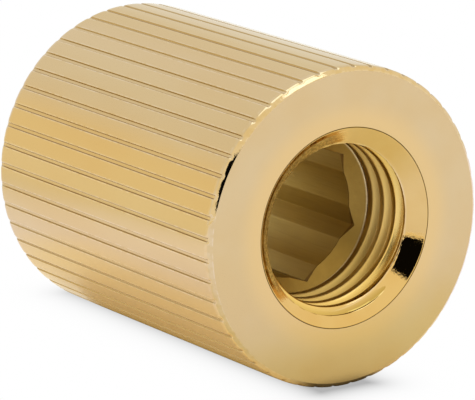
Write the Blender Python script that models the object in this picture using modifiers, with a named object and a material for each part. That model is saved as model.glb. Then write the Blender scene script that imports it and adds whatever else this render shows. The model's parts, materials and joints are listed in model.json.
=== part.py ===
"""Ribbed threaded sleeve with a hexagon bore, lying on its side.

Three turned pieces share one axis, which runs along world Y:
  ribbed_outer_sleeve   shell with 48 straight grooves, chamfered rims and a rear stop lip
  threaded_mouth_bush   front insert with a conical lead-in and an M14 x 1.5 right-hand internal thread
  hex_bore_core         inner body with a drill-point cone and a broached hexagon bore

Each piece is modelled about its own local Z axis. Local +Z points out of the threaded mouth, which
faces world -Y. The sleeve rests on one of its lands at z = 0, and the world origin is the point of
the floor under the middle of the sleeve.
"""
import math

import bmesh
import bpy

# ---------------------------------------------------------------- driving dimensions (metres)
LAND_RADIUS = 0.0125          # axis to the flat of a land: 25 mm over the ribs
LENGTH = 0.0302               # end face to end face
RIM_CHAMFER_RADIAL = 0.0004
RIM_CHAMFER_AXIAL = 0.00036

GROOVES = 48                  # straight grooves round the outside
GROOVE_FLOOR_RADIUS = 0.01235
GROOVE_FLOOR_HALF_ANGLE = math.radians(0.60)
GROOVE_MOUTH_HALF_ANGLE = math.radians(0.90)

GAP = 0.0003                  # gap between neighbouring pieces
BORE_RADIUS = 0.00806         # bore of the outer sleeve
INSERT_RADIUS = BORE_RADIUS - GAP
LIP_THICKNESS = 0.0015        # stop lip at the rear of the outer sleeve
LIP_RADIUS = 0.0064

MOUTH_RADIUS = 0.00766        # conical lead-in at the front face
MOUTH_HALF_ANGLE = math.radians(54.5)
THREAD_MINOR_RADIUS = 0.0063
THREAD_MAJOR_RADIUS = 0.0070  # M14
THREAD_PITCH = 0.0015
THREAD_ROOT_FLAT = THREAD_PITCH / 8
THREAD_FLANK = math.radians(30)
THREAD_START_ANGLE = math.radians(-170)
THREAD_RUN_IN = 0.0020        # the cutter starts this far outside the face
BUSH_LENGTH = 0.00615

DRILL_POINT_HALF_ANGLE = math.radians(59)
PILOT_RADIUS = 0.00532        # round hole that the hexagon is broached into
PILOT_START = 0.00693         # depth at which the drill-point cone meets it
HEX_ACROSS_FLATS = 0.01026    # takes a 10 mm hexagon key
HEX_CORNER_ANGLE = math.radians(-19.2)

ROUND_STEPS = 48

# ---------------------------------------------------------------- clean start
for old in list(bpy.data.objects):
    bpy.data.objects.remove(old, do_unlink=True)

scene = bpy.context.scene
parts = bpy.data.collections.new("ribbed_threaded_sleeve")
cutters = bpy.data.collections.new("cutters")
scene.collection.children.link(parts)
scene.collection.children.link(cutters)


def make_material(name, colour, roughness):
    mat = bpy.data.materials.new(name)
    mat.use_nodes = True
    bsdf = mat.node_tree.nodes["Principled BSDF"]
    bsdf.inputs["Base Color"].default_value = (*colour, 1.0)
    bsdf.inputs["Metallic"].default_value = 1.0
    bsdf.inputs["Roughness"].default_value = roughness
    mat.diffuse_color = (*colour, 1.0)
    return mat


def link(mesh, name, collection):
    obj = bpy.data.objects.new(name, mesh)
    collection.objects.link(obj)
    obj.rotation_euler = (math.radians(90), 0.0, 0.0)
    obj.location = (0.0, 0.0, LAND_RADIUS)
    if collection is cutters:
        obj.hide_render = True
        obj.display_type = "WIRE"
    return obj


def depth(distance):
    """Local z of a point this far behind the front face."""
    return LENGTH / 2 - distance


def turned(name, outline, collection, steps=ROUND_STEPS, phase=0.0, pitch=0.0, turns=1):
    """Revolve a closed (radius, z) outline about local Z with a Screw modifier.

    The outline runs down its outer side first. With a pitch the outline climbs along the axis
    and makes a helical bar.
    """
    mesh = bpy.data.meshes.new(name)
    points = [(r * math.cos(phase), r * math.sin(phase), z) for r, z in outline]
    edges = [(i, (i + 1) % len(points)) for i in range(len(points))]
    mesh.from_pydata(points, edges, [])
    obj = link(mesh, name, collection)
    screw = obj.modifiers.new("turn", "SCREW")
    screw.axis = "Z"
    screw.angle = 2 * math.pi
    screw.steps = screw.render_steps = steps
    screw.screw_offset = pitch
    screw.iterations = turns
    screw.use_merge_vertices = pitch == 0.0
    screw.merge_threshold = 0.00001
    return obj


def bake(obj):
    """Replace an object's mesh with its evaluated mesh and drop the modifiers."""
    bpy.context.view_layer.update()
    evaluated = obj.evaluated_get(bpy.context.evaluated_depsgraph_get())
    mesh = bpy.data.meshes.new_from_object(evaluated)
    obj.modifiers.clear()
    obj.data = mesh
    return obj


def close_and_orient(obj):
    """Cap open ends and turn the faces outwards."""
    bm = bmesh.new()
    bm.from_mesh(obj.data)
    rims = [e for e in bm.edges if e.is_boundary]
    if rims:
        bmesh.ops.holes_fill(bm, edges=rims, sides=0)
    bmesh.ops.recalc_face_normals(bm, faces=bm.faces)
    bm.to_mesh(obj.data)
    bm.free()
    return obj


def cut(obj, cutter, label):
    mod = obj.modifiers.new(label, "BOOLEAN")
    mod.operation = "DIFFERENCE"
    mod.object = cutter
    mod.solver = "EXACT"


def finish(obj, material, edge_angle=25):
    bake(obj)
    obj.data.materials.clear()
    obj.data.materials.append(material)
    obj.data.shade_smooth()
    obj.data.set_sharp_from_angle(angle=math.radians(edge_angle))


# ---------------------------------------------------------------- ribbed outer sleeve
# The blank is a 48-sided turning: one flat for each land, with its corners where the grooves go.
corner = 1 / math.cos(math.pi / GROOVES)
rim = LAND_RADIUS - RIM_CHAMFER_RADIAL
sleeve = turned(
    "ribbed_outer_sleeve",
    [
        (rim * corner, depth(0)),
        (LAND_RADIUS * corner, depth(RIM_CHAMFER_AXIAL)),
        (LAND_RADIUS * corner, depth(LENGTH - RIM_CHAMFER_AXIAL)),
        (rim * corner, depth(LENGTH)),
        (LIP_RADIUS, depth(LENGTH)),
        (LIP_RADIUS, depth(LENGTH - LIP_THICKNESS)),
        (BORE_RADIUS, depth(LENGTH - LIP_THICKNESS)),
        (BORE_RADIUS, depth(0)),
    ],
    parts,
    steps=GROOVES,
    phase=math.pi / GROOVES,
)
close_and_orient(bake(sleeve))

groove_mesh = bpy.data.meshes.new("groove_cutters")
bm = bmesh.new()
floor_half = GROOVE_FLOOR_RADIUS * math.sin(GROOVE_FLOOR_HALF_ANGLE)
mouth_radius = LAND_RADIUS / math.cos(math.pi / GROOVES - GROOVE_MOUTH_HALF_ANGLE)
mouth_half = mouth_radius * math.sin(GROOVE_MOUTH_HALF_ANGLE)
outside = LAND_RADIUS + 0.0006
slope = (mouth_half - floor_half) / (mouth_radius - GROOVE_FLOOR_RADIUS)
outside_half = floor_half + slope * (outside - GROOVE_FLOOR_RADIUS)
for k in range(GROOVES):
    a = (k + 0.5) * 2 * math.pi / GROOVES
    made = bmesh.ops.create_cube(bm, size=1.0)
    for v in made["verts"]:
        at_floor = v.co.x < 0
        radial = GROOVE_FLOOR_RADIUS if at_floor else outside
        side = math.copysign(floor_half if at_floor else outside_half, v.co.y)
        along = math.copysign(LENGTH / 2 + 0.001, v.co.z)
        v.co = (
            radial * math.cos(a) - side * math.sin(a),
            radial * math.sin(a) + side * math.cos(a),
            along,
        )
bm.to_mesh(groove_mesh)
bm.free()
grooves = link(groove_mesh, "groove_cutters", cutters)
cut(sleeve, grooves, "grooves")

# ---------------------------------------------------------------- threaded mouth bush
bush = turned(
    "threaded_mouth_bush",
    [
        (INSERT_RADIUS, depth(0)),
        (INSERT_RADIUS, depth(BUSH_LENGTH)),
        (THREAD_MINOR_RADIUS, depth(BUSH_LENGTH)),
        (THREAD_MINOR_RADIUS, depth((MOUTH_RADIUS - THREAD_MINOR_RADIUS) / math.tan(MOUTH_HALF_ANGLE))),
        (MOUTH_RADIUS, depth(0)),
    ],
    parts,
)
close_and_orient(bake(bush))

# The thread form: a 60 degree vee with a flat root, wound right-handed from outside the mouth to
# beyond the end of the bush.
inner = THREAD_MINOR_RADIUS - 0.0003
half_root = THREAD_ROOT_FLAT / 2
half_inner = half_root + (THREAD_MAJOR_RADIUS - inner) * math.tan(THREAD_FLANK)
thread_turns = math.ceil((THREAD_RUN_IN + BUSH_LENGTH + THREAD_PITCH) / THREAD_PITCH)
start = depth(-THREAD_RUN_IN) - thread_turns * THREAD_PITCH
thread = turned(
    "thread_cutter",
    [
        (THREAD_MAJOR_RADIUS, start + half_root),
        (THREAD_MAJOR_RADIUS, start - half_root),
        (inner, start - half_inner),
        (inner, start + half_inner),
    ],
    cutters,
    phase=THREAD_START_ANGLE,
    pitch=THREAD_PITCH,
    turns=thread_turns,
)
close_and_orient(bake(thread))
cut(bush, thread, "thread")

# ---------------------------------------------------------------- hexagon bore core
core_front = BUSH_LENGTH + GAP
core_rear = LENGTH - LIP_THICKNESS - GAP
cone_radius = PILOT_RADIUS + (PILOT_START - core_front) * math.tan(DRILL_POINT_HALF_ANGLE)
core = turned(
    "hex_bore_core",
    [
        (INSERT_RADIUS, depth(core_front)),
        (INSERT_RADIUS, depth(core_rear)),
        (PILOT_RADIUS, depth(core_rear)),
        (PILOT_RADIUS, depth(PILOT_START)),
        (cone_radius, depth(core_front)),
    ],
    parts,
)
close_and_orient(bake(core))

broach_mesh = bpy.data.meshes.new("hexagon_broach")
bm = bmesh.new()
bmesh.ops.create_cone(
    bm,
    cap_ends=True,
    segments=6,
    radius1=HEX_ACROSS_FLATS / 2 / math.cos(math.pi / 6),
    radius2=HEX_ACROSS_FLATS / 2 / math.cos(math.pi / 6),
    depth=LENGTH + 0.002,
)
first = min(bm.verts, key=lambda v: abs(math.atan2(v.co.y, v.co.x)))
turn = HEX_CORNER_ANGLE - math.atan2(first.co.y, first.co.x)
for v in bm.verts:
    x, y = v.co.x, v.co.y
    v.co.x = x * math.cos(turn) - y * math.sin(turn)
    v.co.y = x * math.sin(turn) + y * math.cos(turn)
bm.to_mesh(broach_mesh)
bm.free()
broach = link(broach_mesh, "hexagon_broach", cutters)
cut(core, broach, "hexagon")

# ---------------------------------------------------------------- materials
finish(sleeve, make_material("polished_gold_plate_sleeve", (0.86, 0.66, 0.36), 0.16))
finish(bush, make_material("polished_gold_plate_bush", (0.85, 0.60, 0.22), 0.10))
finish(core, make_material("gold_plate_core", (0.62, 0.43, 0.12), 0.22))
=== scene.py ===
"""Looks of the ribbed threaded sleeve: fine meshes for its three turned pieces, plated gold, and a pale studio.

Lengths below are in millimetres unless a name says otherwise; phi is the angle round the sleeve's axis from
world +X towards +Z, and s is the distance behind the front face.
"""
import json
import math

import bmesh
import bpy
import numpy as np
from mathutils import Matrix, Vector

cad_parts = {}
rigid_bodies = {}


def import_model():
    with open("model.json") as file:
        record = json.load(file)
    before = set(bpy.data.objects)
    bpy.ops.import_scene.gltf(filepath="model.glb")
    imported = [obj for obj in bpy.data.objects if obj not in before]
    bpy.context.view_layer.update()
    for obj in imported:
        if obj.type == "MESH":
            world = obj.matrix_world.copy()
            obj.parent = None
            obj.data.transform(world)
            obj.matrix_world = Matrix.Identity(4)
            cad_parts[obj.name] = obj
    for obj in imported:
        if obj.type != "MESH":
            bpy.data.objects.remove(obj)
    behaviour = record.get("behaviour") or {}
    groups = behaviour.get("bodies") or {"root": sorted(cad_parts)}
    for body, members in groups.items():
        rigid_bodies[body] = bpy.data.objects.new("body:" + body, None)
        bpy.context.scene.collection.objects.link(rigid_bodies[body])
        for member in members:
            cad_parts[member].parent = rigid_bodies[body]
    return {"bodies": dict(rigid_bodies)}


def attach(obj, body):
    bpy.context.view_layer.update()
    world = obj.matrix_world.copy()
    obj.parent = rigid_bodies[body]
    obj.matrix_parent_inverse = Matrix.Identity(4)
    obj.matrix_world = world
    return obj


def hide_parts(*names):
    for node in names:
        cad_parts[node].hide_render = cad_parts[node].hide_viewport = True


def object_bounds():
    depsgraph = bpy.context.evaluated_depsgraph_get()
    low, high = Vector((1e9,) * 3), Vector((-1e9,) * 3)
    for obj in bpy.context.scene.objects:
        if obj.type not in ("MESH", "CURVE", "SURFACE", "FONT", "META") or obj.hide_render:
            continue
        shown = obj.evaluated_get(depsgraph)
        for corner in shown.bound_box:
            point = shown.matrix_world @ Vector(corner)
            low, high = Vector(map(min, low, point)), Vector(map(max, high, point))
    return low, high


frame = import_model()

cad_low, cad_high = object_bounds()

MM = 0.001
RADIUS = (cad_high.x - cad_low.x) / 2 / MM
LENGTH = (cad_high.y - cad_low.y) / MM
FRONT_Y = cad_low.y
AXIS_X = (cad_low.x + cad_high.x) / 2
AXIS_Z = (cad_low.z + cad_high.z) / 2
DEG = math.radians(1)

# ---------------------------------------------------------------- sizes that the frame does not hold
GROOVES = 48
GROOVE_AT = 3.75  # degrees, first groove
FLOOR_R = 12.385
FACE_EDGE_R = 12.1
RIM_SLOPES = ((0.0, 53.5), (0.20, 50.5), (0.27, 36.0), (0.36, 22.0), (0.5, 9.0), (0.75, 2.0))  # depth, degrees
SEAM_R = 7.77
CONE_TAN = math.tan(54.5 * DEG)  # the mouth cone opens at this half-angle
PITCH = 1.5
MINOR_R = 6.36
MAJOR_R = 7.0
CREST_S = 2.54  # depth of a crest's middle at phi = 0
BUSH_END = 6.16
PILOT_R = 5.32
PILOT_S = 6.93
CONE_SLOPE = 0.606  # depth per radius of the drill-point cone
HEX_A = 5.13
HEX_CORNER = -19.2  # degrees
LIP_R = 6.4
LIP_T = 1.5


# ---------------------------------------------------------------- mesh helpers
def place(s, r, phi):
    """World positions of points at depth s and radius r (mm) and angle phi (radians)."""
    s, r, phi = np.broadcast_arrays(s, r, phi)
    return np.stack(
        [AXIS_X + MM * r * np.cos(phi), FRONT_Y + MM * s, AXIS_Z + MM * r * np.sin(phi)], -1
    )


def rounded_loop(corners, radii, steps, gaps, support=0.03):
    """Rows of a closed profile with rounded corners.

    corners holds (s, r) arrays over the columns. gaps gives how many spaces each straight run has between
    its support rows. Returns the rows' s and r, and how strongly each row lies on an edge.
    """
    n = len(corners)
    c = [np.stack(np.broadcast_arrays(*k), -1).astype(float) for k in corners]
    width = max(len(k) if k.ndim > 1 else 1 for k in c)
    c = [np.broadcast_to(k, (width, 2)) if k.ndim == 1 else k for k in c]
    arcs = []
    for i in range(n):
        here, before, after = c[i], c[i - 1], c[(i + 1) % n]
        d1 = before - here
        d2 = after - here
        l1 = np.linalg.norm(d1, axis=1, keepdims=True)
        l2 = np.linalg.norm(d2, axis=1, keepdims=True)
        d1, d2 = d1 / l1, d2 / l2
        alpha = np.arccos(np.clip((d1 * d2).sum(1, keepdims=True), -1, 1))
        reach = np.minimum(radii[i] / np.tan(alpha / 2), 0.42 * np.minimum(l1, l2))
        rad = reach * np.tan(alpha / 2)
        centre = here + (d1 + d2) / np.linalg.norm(d1 + d2, axis=1, keepdims=True) * rad / np.sin(alpha / 2)
        a, b = here + d1 * reach - centre, here + d2 * reach - centre
        omega = math.pi - alpha
        rows = []
        for k in range(steps[i] + 1):
            t = k / steps[i]
            rows.append(centre + (np.sin((1 - t) * omega) * a + np.sin(t * omega) * b) / np.sin(omega))
        arcs.append(rows)
    out, edge = [], []
    for i in range(n):
        rows = arcs[i]
        for k, row in enumerate(rows):
            out.append(row)
            edge.append(1.0 if 0 < k < len(rows) - 1 else 0.7)
        end, start = rows[-1], arcs[(i + 1) % n][0]
        run = start - end
        span = np.linalg.norm(run, axis=1, keepdims=True)
        f = np.minimum(support / np.maximum(span, 1e-9), 0.3)
        for k in range(gaps[i] + 1):
            t = f + (1 - 2 * f) * (k / gaps[i] if gaps[i] else 0.5)
            out.append(end + run * t)
            edge.append(0.15 if k in (0, gaps[i]) else 0.0)
    rows = np.stack(out)
    return rows[..., 0], rows[..., 1], np.array(edge)


def ring_mesh(name, s, r, phi, edge, marks=None):
    """A closed solid from rows that form a loop and columns that go once round the axis."""
    rows, cols = s.shape
    verts = place(s, r, phi[None, :]).reshape(-1, 3)
    i, j = np.meshgrid(np.arange(rows), np.arange(cols), indexing="ij")
    i2, j2 = (i + 1) % rows, (j + 1) % cols
    quads = np.stack([i * cols + j, i2 * cols + j, i2 * cols + j2, i * cols + j2], -1).reshape(-1, 4)
    return build(name, verts, quads, {"edge": np.broadcast_to(edge[:, None], (rows, cols)).reshape(-1), **(marks or {})})


def build(name, verts, quads, marks, merge=0.0, sharp=35):
    mesh = bpy.data.meshes.new(name)
    mesh.vertices.add(len(verts))
    mesh.vertices.foreach_set("co", np.ascontiguousarray(verts, np.float32).reshape(-1))
    quads = np.ascontiguousarray(quads, np.int32)
    mesh.loops.add(quads.size)
    mesh.loops.foreach_set("vertex_index", quads.reshape(-1))
    mesh.polygons.add(len(quads))
    mesh.polygons.foreach_set("loop_start", np.arange(0, quads.size, quads.shape[1], dtype=np.int32))
    mesh.update(calc_edges=True)
    mesh.validate()
    for key, values in marks.items():
        layer = mesh.attributes.new(key, "FLOAT", "POINT")
        layer.data.foreach_set("value", np.ascontiguousarray(values, np.float32))
    bm = bmesh.new()
    bm.from_mesh(mesh)
    if merge:
        bmesh.ops.remove_doubles(bm, verts=bm.verts, dist=merge)
        bmesh.ops.dissolve_degenerate(bm, edges=bm.edges, dist=merge)
        rims = [e for e in bm.edges if e.is_boundary]
        if rims:
            bmesh.ops.holes_fill(bm, edges=rims, sides=0)
    bmesh.ops.recalc_face_normals(bm, faces=bm.faces)
    bm.to_mesh(mesh)
    bm.free()
    mesh.shade_smooth()
    mesh.set_sharp_from_angle(angle=math.radians(sharp))
    obj = bpy.data.objects.new(name, mesh)
    bpy.context.scene.collection.objects.link(obj)
    return obj


# ---------------------------------------------------------------- ribbed outer sleeve
half = [0, 0.30, 0.44, 0.50, 0.56, 0.64, 0.72, 0.80, 0.90, 1.02, 1.35, 1.9, 2.8]
offsets = np.array([-x for x in half[:0:-1]] + half + [3.75])
spread = np.abs(offsets)
groove = np.interp(spread, [0, 0.44, 0.50, 0.56, 0.72, 0.80, 0.88, 0.98], [1, 1, 0.97, 0.86, 0.20, 0.06, 0.012, 0])
flare = np.where(spread < 1.9, 0.5 + 0.5 * np.cos(np.clip(spread - 0.35, 0, 1.55) / 1.55 * math.pi), 0)
psi = np.array([GROOVE_AT + 7.5 * k + x for k in range(GROOVES) for x in offsets])
groove, flare, spread = (np.tile(x, GROOVES) for x in (groove, flare, spread))
# wall marks the groove walls, where shade is painted in and the gold is rougher
wall = np.interp(spread, [0, 0.38, 0.5, 0.64, 0.78, 0.86], [0.12, 0.25, 0.8, 1, 0.6, 0])
brow = np.interp(spread, [0, 0.78, 0.90, 1.02, 1.2], [0, 0, 1, 0.8, 0])


rim_s = np.linspace(0, 1.5, 601)
rim_slope = np.tan(np.interp(rim_s, *zip(*RIM_SLOPES)) * DEG)
rim_r = FACE_EDGE_R + np.concatenate([[0], np.cumsum((rim_slope[1:] + rim_slope[:-1]) / 2 * np.diff(rim_s))])


def rim(s):
    """Radius of the rounded rim at distance s from an end face."""
    return float(np.interp(s, rim_s, rim_r)) + max(s - 1.5, 0)


def outside(s):
    """Radius of the ribbed outside at distance s from an end face, for every column."""
    body = RADIUS - (RADIUS - FLOOR_R) * groove
    opened = RADIUS - (RADIUS - FLOOR_R + 0.03) * flare
    body = body + (np.minimum(opened, body) - body) * math.exp(-max(s - 0.25, 0) / 0.10)
    body = body - 0.012 * math.exp(-max(s - 0.4, 0) / 0.45)
    k = 0.035
    a = np.full_like(body, rim(s))
    low = -k * np.log(np.exp(-(a - 12.4) / k) + np.exp(-(body - 12.4) / k)) + 12.4
    return np.minimum(low, RADIUS - 0.0002)


one = np.ones_like(psi)
near = [0.006, 0.014, 0.03, 0.05, 0.08, 0.11, 0.14, 0.17, 0.20, 0.23, 0.26, 0.29, 0.32, 0.36, 0.40, 0.45, 0.5, 0.56, 0.63, 0.72, 0.85, 1.05, 1.4, 2.0, 3.0, 5.0]
rear = near[::2]
rows_s, rows_r, rows_e = [], [], []


def row(s_, r_, e_):
    rows_s.append(s_ * one)
    rows_r.append(r_ * one)
    rows_e.append(e_)


for r_ in (SEAM_R + 0.08, 9.0, 10.6, 11.8, 12.0, 12.05, 12.08):
    row(0.0, r_, 0.0)
row(0.0008, 12.092, 0.4)
for s_ in near:
    row(s_, outside(s_) - (0.004 * math.exp(-s_ / 0.006)), 0.9 if s_ < 0.05 else 0.35 if s_ < 0.6 else 0.0)
for s_ in np.linspace(8.5, LENGTH - 8.5, 3):
    row(s_, outside(min(s_, LENGTH - s_)), 0.0)
for s_ in rear[::-1]:
    row(LENGTH - s_, outside(s_) - (0.004 * math.exp(-s_ / 0.006)), 0.9 if s_ < 0.05 else 0.35 if s_ < 0.6 else 0.0)
row(LENGTH - 0.0008, 12.092, 0.4)
for r_ in (12.08, 12.05, 12.0, 10.8, 8.4, 6.62):
    row(LENGTH, r_, 0.0)
for k in range(5):
    a = math.radians(90 * k / 4)
    row(LENGTH - 0.12 * (1 - math.cos(a)), LIP_R + 0.12 * (1 - math.sin(a)), 0.8)
row(LENGTH - 0.3, LIP_R, 0.0)
row(LENGTH - LIP_T + 0.1, LIP_R, 0.0)
row(LENGTH - LIP_T, LIP_R + 0.08, 0.3)
for r_ in (LIP_R + 0.2, SEAM_R - 0.1, SEAM_R + 0.03):
    row(LENGTH - LIP_T, r_, 0.0)
for s_ in (LENGTH - LIP_T - 0.1, 14.0, 0.08, 0.04):
    row(s_, SEAM_R + 0.03, 0.0)
for k in range(1, 4):
    a = math.radians(30 * k)
    row(0.02 * (1 - math.sin(a)), SEAM_R + 0.05 - 0.02 * math.cos(a), 0.8)
s, r, edge = np.stack(rows_s), np.stack(rows_r), np.array(rows_e)
on_side = (r > 12.3) & (s > 0.4) & (s < LENGTH - 0.4)
sleeve = ring_mesh(
    "ribbed_sleeve_body",
    s,
    r,
    psi * DEG,
    edge,
    {
        "wall": (np.broadcast_to(wall, s.shape) * np.where((r > 12.3) & (s > 0.3) & (s < LENGTH - 0.3), 1, 0)).reshape(-1),
        "brow": (np.broadcast_to(brow, s.shape) * on_side).reshape(-1),
    },
)


# ---------------------------------------------------------------- threaded mouth bush
def groove_depth(u, full=1.0):
    """Radial depth of the thread groove at distance u from the groove's middle."""
    depth_full = (MAJOR_R - MINOR_R) * full
    flat = PITCH / 16
    raw = (flat + depth_full / math.sqrt(3) * 1.0 - np.abs(u)) * math.sqrt(3)
    k = 0.075
    top = -k * np.log(np.exp(-raw / k) + np.exp(-depth_full / k))
    return k * np.log(1 + np.exp(np.clip(top / k, -40, 40))) - 0.02


def bore(s, phi):
    """Radius of the bush's bore: mouth cone, thread and minor diameter together."""
    turn = PITCH * phi / (2 * math.pi)
    u = np.mod(s - (CREST_S + PITCH / 2) + turn + PITCH / 2, PITCH) - PITCH / 2
    k = 0.012
    a, b = MINOR_R + groove_depth(u), SEAM_R - 0.03 - s * CONE_TAN
    wide = np.maximum(a, b) + k * np.exp(-np.abs(a - b) / k) * 0.5
    # a small rolled burr stands up where the mouth cone breaks into the bore
    rough = 0.8 + 0.3 * np.sin(phi * 41 + 3 * np.sin(phi * 7)) * np.sin(phi * 97 + 1.3)
    burr = (0.03 + 0.06 * np.clip(0.3 - np.cos(phi), 0, 1)) * rough * np.exp(-(((s - lip_s + 0.01) / 0.055) ** 2))
    return wide - np.where(a < MINOR_R + 0.12, burr, burr * 0.15)


COLUMNS = 360
phi = np.arange(COLUMNS + 1) * 2 * math.pi / COLUMNS
lip_s = (SEAM_R - 0.03 - MINOR_R) / CONE_TAN
flat_rows = np.concatenate([[0.02, 0.05], np.linspace(0.1, 0.46, 6), np.arange(0.48, 1.22, 0.02)])
knots = np.array([-0.75, -0.62, -0.55, -0.50, -0.45, -0.40, -0.33, -0.25, -0.17, -0.12, -0.08, -0.04, 0, 0.04, 0.08, 0.12, 0.17, 0.25, 0.33, 0.40, 0.45, 0.50, 0.55, 0.62])
first = flat_rows[-1] + 0.02
helix = np.concatenate([knots + CREST_S + PITCH / 2 + PITCH * k for k in range(-3, 6)])
rows_s = [np.full(COLUMNS + 1, 0.0), *[np.full(COLUMNS + 1, x) for x in flat_rows]]
turn = PITCH * phi / (2 * math.pi)
for x in helix:
    if x < first - 0.01 or x - PITCH > BUSH_END:
        continue
    rows_s.append(np.clip(x - turn, first, BUSH_END - 0.02))
s_in = np.stack(rows_s)
r_in = bore(s_in, phi[None, :])
r_in[0] = SEAM_R - 0.01
s_in[0] = 0.0
edge_in = np.where(np.abs(s_in - lip_s) < 0.05, 0.6, 0.0)
back = [(BUSH_END, 0.02), (BUSH_END, 0.3)]
s_out = [np.full(COLUMNS + 1, BUSH_END), np.full(COLUMNS + 1, BUSH_END), np.full(COLUMNS + 1, BUSH_END - 0.03)]
r_out = [r_in[-1] + 0.02, np.full(COLUMNS + 1, SEAM_R - 0.03), np.full(COLUMNS + 1, SEAM_R)]
for x in (4.0, 2.0, 0.06, 0.03):
    s_out.append(np.full(COLUMNS + 1, x))
    r_out.append(np.full(COLUMNS + 1, SEAM_R))
s_out.append(np.full(COLUMNS + 1, 0.005))
r_out.append(np.full(COLUMNS + 1, SEAM_R - 0.004))
s_all = np.concatenate([s_in, np.stack(s_out)])
r_all = np.concatenate([r_in, np.stack(r_out)])
edge_all = np.concatenate([edge_in, np.zeros((len(s_out), COLUMNS + 1))])
u_all = np.mod(s_all - CREST_S + turn + PITCH / 2, PITCH) - PITCH / 2
crest = np.exp(-((u_all / 0.30) ** 2)) * ((s_all > 0.95) & (r_all < 6.6))
# deep marks the thread roots, where shade is painted in
deep = np.clip((r_all - 6.5) / 0.4, 0, 1) * ((r_all > SEAM_R + 0.01 - s_all * CONE_TAN) & (s_all > 0.5) & (s_all < BUSH_END - 0.01) & (r_all < 7.3))
rows, cols = s_all.shape
verts = place(s_all, r_all, phi[None, :]).reshape(-1, 3)
i, j = np.meshgrid(np.arange(rows), np.arange(cols - 1), indexing="ij")
i2 = (i + 1) % rows
quads = np.stack([i * cols + j, i2 * cols + j, i2 * cols + j + 1, i * cols + j + 1], -1).reshape(-1, 4)
bush = build(
    "threaded_mouth",
    verts,
    quads,
    {"edge": edge_all.reshape(-1), "crest": crest.reshape(-1), "deep": deep.reshape(-1)},
    merge=2e-6,
    sharp=50,
)

# ---------------------------------------------------------------- hexagon bore core
steps = [0, 4, 8, 12, 14.4, 15.0, 15.6, 16.4, 18, 22, 26, 28.2, 29.0, 29.5]
delta = [-x for x in steps[:0:-1]] + steps + [30.0]
phi_core, section, arris = [], [], []
for k in range(6):
    for d in delta:
        flat_r = HEX_A / math.cos(d * DEG)
        blunt = HEX_A / math.cos(30 * DEG) - 0.006
        hexagon = min(flat_r, blunt)
        phi_core.append((HEX_CORNER + 30 + 60 * k + d) * DEG)
        section.append(max(PILOT_R, hexagon))
        arris.append(math.exp(-(((abs(d) - 15.3) / 0.7) ** 2)))
phi_core, section, arris = map(np.array, (phi_core, section, arris))
enter = PILOT_S - (section - PILOT_R) * CONE_SLOPE
front_s = BUSH_END + 0.02
front_r = PILOT_R + (PILOT_S - front_s) / CONE_SLOPE
one = np.ones_like(section)
CORE_END = LENGTH - LIP_T - 0.04
s, r, edge = rounded_loop(
    [
        (front_s * one, front_r * one),
        (enter, section),
        (CORE_END * one, section),
        (CORE_END * one, SEAM_R * one),
        (front_s * one, SEAM_R * one),
    ],
    [0.02, 0.035, 0.12, 0.1, 0.05],
    [2, 3, 3, 2, 2],
    [8, 40, 2, 4, 2],
)
core = ring_mesh(
    "hexagon_bore",
    s,
    r,
    phi_core,
    edge,
    {"arris": (np.broadcast_to(arris, s.shape) * ((s > 7.1) & (r < 6.2))).reshape(-1)},
)


# ---------------------------------------------------------------- plated gold
class Nodes:
    """Small helper for writing node trees."""

    def __init__(self, tree):
        self.tree = tree
        tree.nodes.clear()

    def add(self, kind, **inputs):
        node = self.tree.nodes.new(kind)
        for key, value in inputs.items():
            setattr(node, key, value)
        return node

    def put(self, socket, value):
        if isinstance(value, bpy.types.NodeSocket):
            self.tree.links.new(value, socket)
        else:
            socket.default_value = value

    def math(self, op, a, b=None, c=None, clamp=False):
        node = self.add("ShaderNodeMath", operation=op, use_clamp=clamp)
        for k, v in enumerate((a, b, c)):
            if v is not None:
                self.put(node.inputs[k], v)
        return node.outputs[0]

    def ramp(self, value, low, high, out_low=0.0, out_high=1.0, smooth=True):
        node = self.add("ShaderNodeMapRange", interpolation_type="SMOOTHSTEP" if smooth else "LINEAR")
        for key, v in (("Value", value), ("From Min", low), ("From Max", high), ("To Min", out_low), ("To Max", out_high)):
            self.put(node.inputs[key], v)
        return node.outputs["Result"]

    def mix(self, factor, a, b, blend="MIX"):
        node = self.add("ShaderNodeMix", data_type="RGBA", blend_type=blend)
        self.put(node.inputs["Factor"], factor)
        for socket, v in ((node.inputs[6], a), (node.inputs[7], b)):
            if isinstance(v, tuple):
                v = (*v, 1.0) if len(v) == 3 else v
            self.put(socket, v)
        return node.outputs[2]

    def noise(self, vector, scale, detail=2.0, rough=0.5, seed=0.0):
        node = self.add("ShaderNodeTexNoise", noise_dimensions="4D")
        self.put(node.inputs["Vector"], vector)
        self.put(node.inputs["W"], seed)
        self.put(node.inputs["Scale"], scale)
        self.put(node.inputs["Detail"], detail)
        self.put(node.inputs["Roughness"], rough)
        return node.outputs["Fac"]

    def attribute(self, name):
        node = self.add("ShaderNodeAttribute", attribute_name=name)
        return node.outputs["Fac"]

    def combine(self, x, y, z):
        node = self.add("ShaderNodeCombineXYZ")
        for k, v in enumerate((x, y, z)):
            self.put(node.inputs[k], v)
        return node.outputs[0]


def turned_coordinates(n):
    """Object position across the axis (x and z), depth and radius, all in mm."""
    pos = n.add("ShaderNodeTexCoord").outputs["Object"]
    split = n.add("ShaderNodeSeparateXYZ")
    n.put(split.inputs[0], pos)
    x = n.math("MULTIPLY", n.math("SUBTRACT", split.outputs[0], AXIS_X), 1 / MM)
    z = n.math("MULTIPLY", n.math("SUBTRACT", split.outputs[2], AXIS_Z), 1 / MM)
    s = n.math("MULTIPLY", n.math("SUBTRACT", split.outputs[1], FRONT_Y), 1 / MM)
    r = n.math("SQRT", n.math("ADD", n.math("MULTIPLY", x, x), n.math("MULTIPLY", z, z)))
    return x, z, s, r


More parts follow.
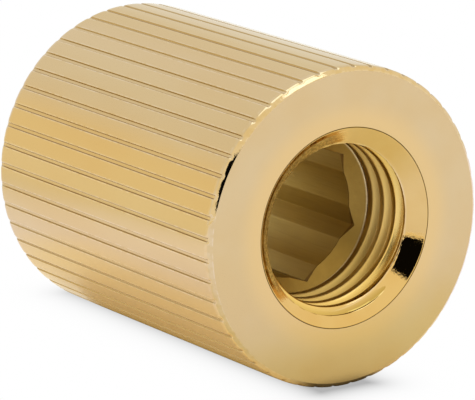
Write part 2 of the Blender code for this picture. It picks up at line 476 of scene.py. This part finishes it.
def gold(name, base, deep, roughness, build_detail):
    mat = bpy.data.materials.new(name)
    mat.use_nodes = True
    n = Nodes(mat.node_tree)
    out = n.add("ShaderNodeOutputMaterial")
    bsdf = n.add("ShaderNodeBsdfPrincipled")
    n.put(out.inputs["Surface"], bsdf.outputs[0])
    bsdf.inputs["Metallic"].default_value = 1.0
    x, z, s, r = turned_coordinates(n)
    colour, rough, height, strength, distance = build_detail(n, x, z, s, r, base, deep, roughness)
    n.put(bsdf.inputs["Base Color"], colour)
    n.put(bsdf.inputs["Roughness"], rough)
    bump = n.add("ShaderNodeBump")
    bump.inputs["Strength"].default_value = strength
    bump.inputs["Distance"].default_value = distance
    n.put(bump.inputs["Height"], height)
    n.put(bsdf.inputs["Normal"], bump.outputs[0])
    mat.diffuse_color = (*base, 1)
    return mat


def sleeve_detail(n, x, z, s, r, base, deep, roughness):
    wall, edge, brow = n.attribute("wall"), n.attribute("edge"), n.attribute("brow")
    # broad clouding of the plating, fine lines along the lands and round the end faces
    cloud = n.noise(n.combine(x, z, n.math("MULTIPLY", s, 0.35)), 0.16, 3.0, 0.55, 1.0)
    along = n.noise(n.combine(n.math("MULTIPLY", x, 9.0), n.math("MULTIPLY", z, 9.0), n.math("MULTIPLY", s, 0.25)), 1.0, 2.0, 0.6, 3.0)
    rings = n.noise(n.combine(n.math("MULTIPLY", r, 11.0), n.math("MULTIPLY", x, 0.05), n.math("MULTIPLY", z, 0.05)), 1.0, 2.0, 0.6, 5.0)
    on_face = n.math("MULTIPLY", n.ramp(r, 12.06, 12.12, 1.0, 0.0), 1.0)
    fine = n.add("ShaderNodeMix", data_type="FLOAT")
    n.put(fine.inputs["Factor"], on_face)
    n.put(fine.inputs[2], along)
    n.put(fine.inputs[3], rings)
    lines = fine.outputs[0]
    tint = n.mix(n.ramp(cloud, 0.35, 0.65), base, tuple(c * k for c, k in zip(base, (0.985, 0.95, 0.88))))
    tint = n.mix(n.math("MULTIPLY", n.ramp(lines, 0.62, 0.8), 0.12), tint, tuple(c * 0.8 for c in base))
    # painted shade: the groove walls are darkened towards the deep colour
    tint = n.mix(n.math("MULTIPLY", wall, 0.7), tint, deep)
    # painted light: the end face is warmer and brighter near the bore
    tint = n.mix(n.math("MULTIPLY", on_face, n.ramp(r, 8.1, 10.2, 1.0, 0.0)), tint, tuple(c * k for c, k in zip(base, (1.10, 1.03, 0.86))))
    worn = n.math("MULTIPLY", n.math("MAXIMUM", edge, brow), n.ramp(n.noise(n.combine(x, z, s), 1.9, 3.0, 0.6, 8.0), 0.35, 0.6))
    tint = n.mix(n.math("MULTIPLY", worn, 0.30), tint, (0.93, 0.82, 0.60))
    tint = n.mix(n.math("MULTIPLY", n.ramp(r, SEAM_R + 0.045, SEAM_R + 0.075, 0.8, 0.0), n.ramp(s, 0.05, 0.09, 1.0, 0.0)), tint, (0.34, 0.20, 0.03))
    rough = n.math("ADD", n.ramp(cloud, 0.3, 0.7, -0.02, 0.03), roughness)
    rough = n.math("ADD", rough, n.ramp(lines, 0.45, 0.8, 0.0, 0.05))
    rough = n.math("ADD", rough, n.math("MULTIPLY", wall, 0.08))
    rough = n.math("MULTIPLY", rough, n.ramp(n.attribute("edge"), 0.2, 0.35, 1.0, 0.35))
    height = n.math("ADD", n.math("MULTIPLY", lines, 0.6), n.math("MULTIPLY", n.noise(n.combine(x, z, s), 0.9, 2.0, 0.5, 11.0), 1.0))
    return tint, rough, height, 0.25, 0.00002


# the thread colour is a deeper, more saturated gold, painted to stand for gold light bounced inside the bore
thread_gold_painted_bounce = (0.81, 0.55, 0.15)


def bush_detail(n, x, z, s, r, base, deep, roughness):
    edge, root_shade_mask, crest = n.attribute("edge"), n.attribute("deep"), n.attribute("crest")
    cloud = n.noise(n.combine(x, z, s), 0.3, 3.0, 0.5, 2.0)
    rings = n.noise(n.combine(n.math("MULTIPLY", s, 16.0), n.math("MULTIPLY", x, 0.35), n.math("MULTIPLY", z, 0.35)), 1.0, 2.5, 0.65, 6.0)
    tint = n.mix(n.ramp(cloud, 0.35, 0.65), base, tuple(c * k for c, k in zip(base, (0.97, 0.93, 0.85))))
    # painted shade: the thread roots are darkened towards the deep colour
    tint = n.mix(n.math("MULTIPLY", root_shade_mask, 0.75), tint, deep)
    worn = n.math("MULTIPLY", edge, n.ramp(rings, 0.35, 0.6))
    tint = n.mix(n.math("MULTIPLY", worn, 0.4), tint, (0.94, 0.80, 0.52))
    inside = n.ramp(n.math("ADD", r, n.math("MULTIPLY", s, CONE_TAN)), SEAM_R + 0.06, SEAM_R + 0.45)
    # painted bounce light: past the mouth cone the thread takes the deeper, more saturated gold
    tint = n.mix(n.math("MULTIPLY", inside, 0.9), tint, tuple(c * k for c, k in zip(thread_gold_painted_bounce, (1, 1, 1))))
    # painted shade in the thread roots again, over the thread colour
    tint = n.mix(n.math("MULTIPLY", root_shade_mask, 0.5), tint, deep)
    # painted shade: the thread darkens from 3 to 5.6 mm deep into the bore
    tint = n.mix(n.math("MULTIPLY", n.ramp(s, 3.0, 5.6), 0.7), tint, tuple(c * 0.72 for c in thread_gold_painted_bounce))
    rough = n.math("ADD", n.ramp(rings, 0.3, 0.7, -0.01, 0.015), roughness)
    rough = n.math("ADD", rough, n.math("MULTIPLY", inside, n.ramp(s, 1.2, 4.2, 0.16, 0.42)))
    tint = n.mix(n.math("MULTIPLY", n.ramp(r, SEAM_R - 0.045, SEAM_R - 0.02, 0.0, 0.8), n.ramp(s, 0.05, 0.09, 1.0, 0.0)), tint, (0.34, 0.20, 0.03))
    # the tool chattered over one side of the mouth cone and left it matt and speckled
    on_cone = n.math("SUBTRACT", 1.0, inside)
    toward = n.math("DIVIDE", x, r)
    down = n.math("DIVIDE", z, r)
    matt = n.math("MULTIPLY", on_cone, n.ramp(toward, -0.30, 0.10, 1.0, 0.0))
    matt = n.math("MULTIPLY", matt, n.ramp(down, -0.72, -0.40))
    matt = n.math("MULTIPLY", matt, n.ramp(r, 7.22, 7.48, 1.0, 0.0))
    specks = n.ramp(n.noise(n.combine(x, z, s), 4.0, 3.0, 0.7, 14.0), 0.34, 0.66)
    bright = n.mix(specks, (0.36, 0.215, 0.03), (0.84, 0.60, 0.17))
    tint = n.mix(n.math("MULTIPLY", matt, 0.95), tint, bright)
    rough = n.math("ADD", rough, n.math("MULTIPLY", matt, 0.34))
    height = n.math("ADD", n.math("MULTIPLY", rings, 1.0), n.math("MULTIPLY", n.noise(n.combine(x, z, s), 2.2, 2.0, 0.5, 12.0), 0.5))
    nicks = n.math("MULTIPLY", n.math("MULTIPLY", n.ramp(down, -0.20, -0.10, 1.0, 0.0), n.ramp(down, -0.80, -0.60)), n.ramp(toward, 0.2, 0.4))
    height = n.math("ADD", height, n.math("MULTIPLY", nicks, n.math("MULTIPLY", n.noise(n.combine(x, z, s), 4.0, 3.0, 0.6, 15.0), 1.8)))
    return tint, rough, height, 0.24, 0.00001


def core_detail(n, x, z, s, r, base, deep, roughness):
    edge, arris = n.attribute("edge"), n.attribute("arris")
    cloud = n.noise(n.combine(x, z, n.math("MULTIPLY", s, 0.3)), 0.35, 3.0, 0.5, 4.0)
    chatter = n.noise(n.combine(n.math("MULTIPLY", x, 6.0), n.math("MULTIPLY", z, 6.0), n.math("MULTIPLY", s, 0.22)), 1.0, 2.0, 0.6, 7.0)
    tint = n.mix(n.ramp(cloud, 0.35, 0.65), base, tuple(c * k for c, k in zip(base, (0.92, 0.90, 0.85))))
    tint = n.mix(n.math("MULTIPLY", n.ramp(chatter, 0.5, 0.75), 0.22), tint, deep)
    # painted shade: the drill-point cone in front of the hex is dark olive
    tint = n.mix(n.ramp(s, 6.96, 7.04, 1.0, 0.0), tint, n.mix(n.ramp(cloud, 0.3, 0.7), (0.345, 0.207, 0.041), (0.29, 0.172, 0.032)))
    tint = n.mix(n.math("MULTIPLY", n.math("MAXIMUM", n.math("MULTIPLY", edge, 0.3), arris), 0.08), tint, (0.70, 0.53, 0.26))
    # painted highlight: a pale band along the core's front edge, behind the last thread crest
    tint = n.mix(n.ramp(s, 6.19, 6.27, 1.0, 0.0), tint, (0.74, 0.57, 0.27))
    rough = n.math("ADD", n.ramp(chatter, 0.3, 0.7, -0.04, 0.05), roughness)
    height = n.math("ADD", n.math("MULTIPLY", chatter, 1.0), n.math("MULTIPLY", n.noise(n.combine(x, z, s), 1.4, 2.0, 0.5, 13.0), 0.8))
    return tint, rough, height, 0.4, 0.00002


GOLD = (0.65, 0.468, 0.205)
# the mouth gold is a more saturated copy of the gold, painted to stand for light bounced gold on gold inside the mouth
GOLD_MOUTH_PAINTED_BOUNCE = (0.70, 0.465, 0.155)
# the core gold is a darker copy of the gold, painted to stand for the shade inside the hex
GOLD_CORE_PAINTED_SHADE = (0.50, 0.355, 0.088)
sleeve.data.materials.append(gold("polished_gold_plate", GOLD, (0.36, 0.23, 0.07), 0.08, sleeve_detail))
bush.data.materials.append(gold("bright_gold_painted_bounce", GOLD_MOUTH_PAINTED_BOUNCE, (0.48, 0.31, 0.06), 0.03, bush_detail))
core.data.materials.append(gold("broached_gold_painted_shade", GOLD_CORE_PAINTED_SHADE, (0.34, 0.23, 0.05), 0.40, core_detail))

for piece, node, slot in (
    (sleeve, "ribbed_outer_sleeve", "sleeve_gold"),
    (bush, "threaded_mouth_bush", "bush_gold"),
    (core, "hex_bore_core", "core_gold"),
):
    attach(piece, next(iter(frame["bodies"])))
    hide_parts(node)

# ---------------------------------------------------------------- floor: a white sheet that glows, with painted light and a painted contact shadow
mesh = bpy.data.meshes.new("studio_floor")
side = 2.5
mesh.from_pydata([(-side, -side, 0), (side, -side, 0), (side, side, 0), (-side, side, 0)], [], [(0, 1, 2, 3)])
floor = bpy.data.objects.new("studio_floor", mesh)
floor.location = (0, 0, cad_low.z - 0.00002)
bpy.context.scene.collection.objects.link(floor)
paper = bpy.data.materials.new("white_paper")
paper.use_nodes = True
n = Nodes(paper.node_tree)
out = n.add("ShaderNodeOutputMaterial")
bsdf = n.add("ShaderNodeBsdfPrincipled")
bsdf.inputs["Roughness"].default_value = 0.6
bsdf.inputs["Specular IOR Level"].default_value = 0.1
pos = n.add("ShaderNodeTexCoord").outputs["Object"]
grain = n.noise(pos, 900.0, 3.0, 0.6, 1.0)
split = n.add("ShaderNodeSeparateXYZ")
n.put(split.inputs[0], pos)
fx, fy = (n.math("MULTIPLY", split.outputs[k], 1 / MM) for k in (0, 1))
half_length = LENGTH / 2
past_front = n.math("MAXIMUM", n.math("SUBTRACT", n.math("MULTIPLY", fy, -1.0), half_length), 0.0)
past_rear = n.math("MAXIMUM", n.math("SUBTRACT", fy, half_length), 0.0)


def distance(a, b):
    return n.math("SQRT", n.math("ADD", n.math("MULTIPLY", a, a), n.math("MULTIPLY", b, b)))


# distance from the strip of painted shadow along the sleeve, which runs on a little behind it
strip_x = n.math("MAXIMUM", n.math("SUBTRACT", n.math("ABSOLUTE", fx), 2.2), 0.0)
strip_y = n.math("ADD", past_front, n.math("MAXIMUM", n.math("SUBTRACT", past_rear, 4.5), 0.0))
strip = distance(strip_x, strip_y)
# painted light: the paper glows in set colours beside the sleeve, in front of it and far off
off = distance(n.math("MAXIMUM", n.math("SUBTRACT", n.math("ABSOLUTE", fx), 6.0), 0.0), n.math("ADD", past_front, past_rear))
beside = n.mix(n.ramp(off, 1.0, 5.5), (0.22, 0.14, 0.01), (0.29, 0.21, 0.07))
side_far = n.mix(n.ramp(fy, 15.0, 70.0), (0.21, 0.21, 0.53), (0.04, 0.02, 0.0))
behind_left = n.math("MULTIPLY", n.ramp(fy, 30.0, 80.0), n.ramp(fx, -50.0, -20.0, 1.0, 0.0))
side_far = n.mix(behind_left, side_far, (0.13, 0.08, 0.02))
side_light = n.mix(n.ramp(off, 6.0, 17.0), beside, side_far)
lean = n.math("ADD", n.math("MULTIPLY", fx, -0.35), n.math("MULTIPLY", past_front, 0.28))
front_light = n.mix(n.ramp(n.math("ADD", past_front, lean), 6.0, 26.0), (0.05, 0.04, 0.0), (0.12, 0.16, 0.55))
light = n.mix(n.ramp(past_front, 0.0, 2.0), side_light, front_light)
# painted shadow: near the strip the paper's colour and glow fall towards black
shade = n.math("SUBTRACT", 1.0, n.math("MULTIPLY", n.math("EXPONENT", n.math("MULTIPLY", n.math("POWER", n.math("DIVIDE", strip, 1.8), 2.0), -1.0)), 0.85))
n.put(bsdf.inputs["Base Color"], n.mix(shade, (0.0, 0.0, 0.0), n.mix(grain, (0.81, 0.79, 0.66), (0.84, 0.82, 0.69))))
n.put(bsdf.inputs["Emission Color"], n.mix(shade, (0.0, 0.0, 0.0), light))
bsdf.inputs["Emission Strength"].default_value = 1.0
# seen straight on it glows, burnt out to white, with only a painted contact shadow close to the strip
fade = n.math("EXPONENT", n.math("MULTIPLY", n.math("POWER", n.math("DIVIDE", strip, 1.45), 1.2), -1.0))
light = n.math("SUBTRACT", 1.0, n.math("MULTIPLY", fade, 0.55))
burnt = n.add("ShaderNodeEmission")
n.put(burnt.inputs["Strength"], light)
both = n.add("ShaderNodeMixShader")
n.put(both.inputs[0], n.add("ShaderNodeLightPath").outputs["Is Camera Ray"])
n.put(both.inputs[1], bsdf.outputs[0])
n.put(both.inputs[2], burnt.outputs[0])
n.put(out.inputs["Surface"], both.outputs[0])
floor.data.materials.append(paper)

# ---------------------------------------------------------------- studio: a soft room, one overhead bank, a dark camera
world = bpy.data.worlds.new("studio")
bpy.context.scene.world = world
world.use_nodes = True
n = Nodes(world.node_tree)
out = n.add("ShaderNodeOutputWorld")
back = n.add("ShaderNodeBackground")
n.put(out.inputs["Surface"], back.outputs[0])
direction = n.add("ShaderNodeTexCoord").outputs["Generated"]
split = n.add("ShaderNodeSeparateXYZ")
n.put(split.inputs[0], direction)
dx, dy, dz = split.outputs
azimuth = n.math("MULTIPLY", n.math("ARCTAN2", dx, dy), 180 / math.pi)
elevation = n.math("MULTIPLY", n.math("ARCSINE", dz), 180 / math.pi)


def patch(az, el, half_az, half_el, soft):
    """1 inside a box of directions in degrees, 0 outside, with a soft edge."""
    turn = n.math("SUBTRACT", azimuth, az)
    turn = n.math("WRAP", turn, 180.0, -180.0)
    a = n.ramp(n.math("ABSOLUTE", turn), half_az - soft / 2, half_az + soft / 2, 1.0, 0.0)
    b = n.ramp(n.math("ABSOLUTE", n.math("SUBTRACT", elevation, el)), half_el - soft / 2, half_el + soft / 2, 1.0, 0.0)
    return n.math("MULTIPLY", a, b)


room = n.mix(n.ramp(elevation, 0, 40), (1.03, 1.07, 1.30), (1.00, 1.04, 1.22))
front = n.ramp(n.math("ABSOLUTE", azimuth), 60, 100)
room = n.mix(front, room, (1.12, 1.10, 1.08))
room = n.mix(patch(-38, 4, 16, 16, 18), room, (1.10, 1.02, 0.84))
room = n.mix(patch(38, 6, 26, 24, 18), room, (0.94, 0.93, 0.86))
room = n.mix(n.ramp(elevation, 64.0, 67.0), room, (1.7, 1.95, 2.6))
room = n.mix(patch(158, 54.5, 18, 5.2, 0.6), room, (2.0, 2.3, 3.1))
# the dark camera and its hood, straight back along the view
room = n.mix(patch(-151, 15.5, 11.0, 12.7, 0.8), room, (0.004, 0.004, 0.004))
seen = n.add("ShaderNodeLightPath").outputs["Is Camera Ray"]
room = n.mix(seen, room, (1.0, 1.0, 1.0))
n.put(back.inputs["Color"], room)
back.inputs["Strength"].default_value = 1.0

# ---------------------------------------------------------------- camera
cam = bpy.data.cameras.new("camera")
cam.sensor_width = 36.0
cam.sensor_fit = "HORIZONTAL"
cam.lens = 290.23
cam.clip_start, cam.clip_end = 0.01, 20.0
camera = bpy.data.objects.new("camera", cam)
bpy.context.scene.collection.objects.link(camera)
right = Vector((0.82628, -0.56327, 0.0))
up = Vector((0.13579, 0.19920, 0.97050))
look = Vector((0.54665, 0.80190, -0.24108))
basis = Matrix((right, up, -look)).transposed().to_4x4()
camera.matrix_world = Matrix.Translation((-0.164704, -0.242180, 0.084364)) @ basis
bpy.context.scene.camera = camera

view = bpy.context.scene.view_settings
view.view_transform = "Standard"
view.look = "None"
